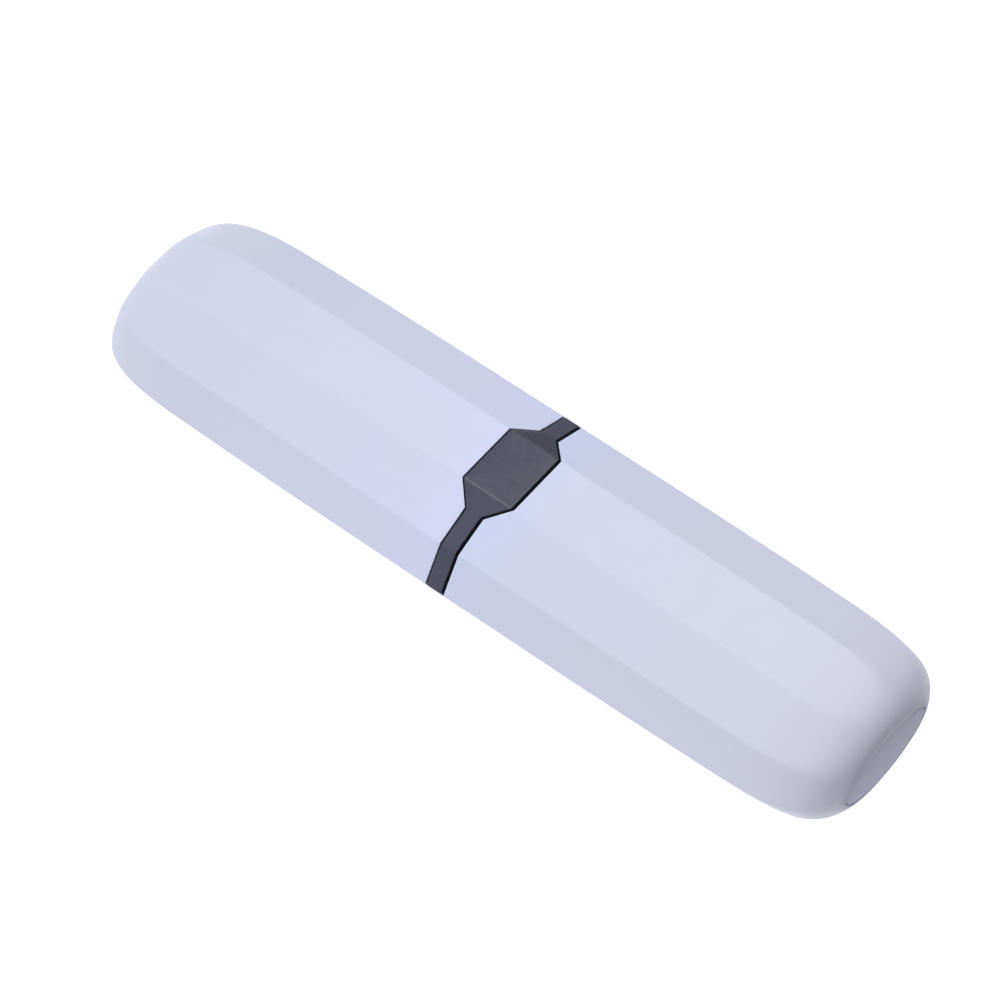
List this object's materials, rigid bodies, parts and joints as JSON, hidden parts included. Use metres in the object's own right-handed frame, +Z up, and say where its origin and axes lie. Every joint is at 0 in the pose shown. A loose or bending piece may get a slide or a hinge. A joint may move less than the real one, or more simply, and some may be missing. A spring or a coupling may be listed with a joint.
{
  "type": "toothbrush sanitizer",
  "caption": "Capsule travel case that holds toothbrushes and cleans them with ultraviolet light, pulled apart at a dark middle collar with a power key.",
  "frame": {"origin": "centre of the case's footprint, on the surface that its bottom face rests on", "axes": "+X along the case towards the base that holds the handles, the cap with the lamp on -X, +Z up through the power key"},
  "size_m": [0.212, 0.0564, 0.033],
  "materials": {
    "ice_shell": "satin moulded, pale bluish white",
    "slate_trim": "fine matt, dark slate grey",
    "white_inner": "plain moulded",
    "soft_pad": "matt silicone",
    "dark_seal": "matt silicone",
    "circuit_board": "green solder mask",
    "lamp_board": "white solder mask on aluminium",
    "steel": "plated",
    "reflector": "polished sheet",
    "quartz": "clear polished",
    "cell_foil": "pouch foil",
    "chip_body": "moulded epoxy",
    "foam_tape": "foam",
    "ribbon_cable": "polyimide film",
    "lamp_body": "ceramic lamp package"
  },
  "bodies": {
    "base": {"base_shell": "ice_shell", "base_foot_pad": "soft_pad", "handle_bumper": "soft_pad", "brush_cradle": "white_inner", "cradle_screw_1": "steel", "cradle_screw_2": "steel", "lid_magnet": "steel"},
    "cap": {"cap_shell": "ice_shell", "mid_collar": "slate_trim", "button_membrane": "dark_seal", "collar_seal": "dark_seal", "electronics_tray": "white_inner", "bulkhead_screw_1": "steel", "bulkhead_screw_2": "steel", "main_pcb": "circuit_board", "pcb_screw_1": "steel", "pcb_screw_2": "steel", "tact_switch": "chip_body", "control_chip": "chip_body", "boost_inductor": "chip_body", "hall_sensor": "chip_body", "battery": "cell_foil", "battery_pad": "foam_tape", "battery_connector": "white_inner", "uv_board": "lamp_board", "uv_board_screw_1": "steel", "uv_board_screw_2": "steel", "uv_led_1": "lamp_body", "uv_led_2": "lamp_body", "uv_led_3": "lamp_body", "uv_led_4": "lamp_body", "reflector_plate": "reflector", "uv_window": "quartz", "usb_board": "circuit_board", "usb_c_socket": "steel", "status_led": "lamp_body", "led_ribbon": "ribbon_cable", "usb_ribbon": "ribbon_cable", "port_cover_anchor": "soft_pad"},
    "button": {"button_key": "slate_trim", "switch_plunger": "white_inner"},
    "port_cover": {"usb_port_cover": "soft_pad"}
  },
  "joints": [
    {"name": "cap_slide", "type": "slide", "parent": "base", "child": "cap", "axis": [-1, 0, 0], "range_m": [0, 0.12]},
    {"name": "button_press", "type": "slide", "parent": "cap", "child": "button", "axis": [0, 0, -1], "range_m": [0, 0.0005], "stiffness_N_per_m": 3200},
    {"name": "port_cover_hinge", "type": "hinge", "parent": "cap", "child": "port_cover", "pos_m": [-0.106, 0, 0.01345], "axis": [0, -1, 0], "range_deg": [0, 110]}
  ]
}
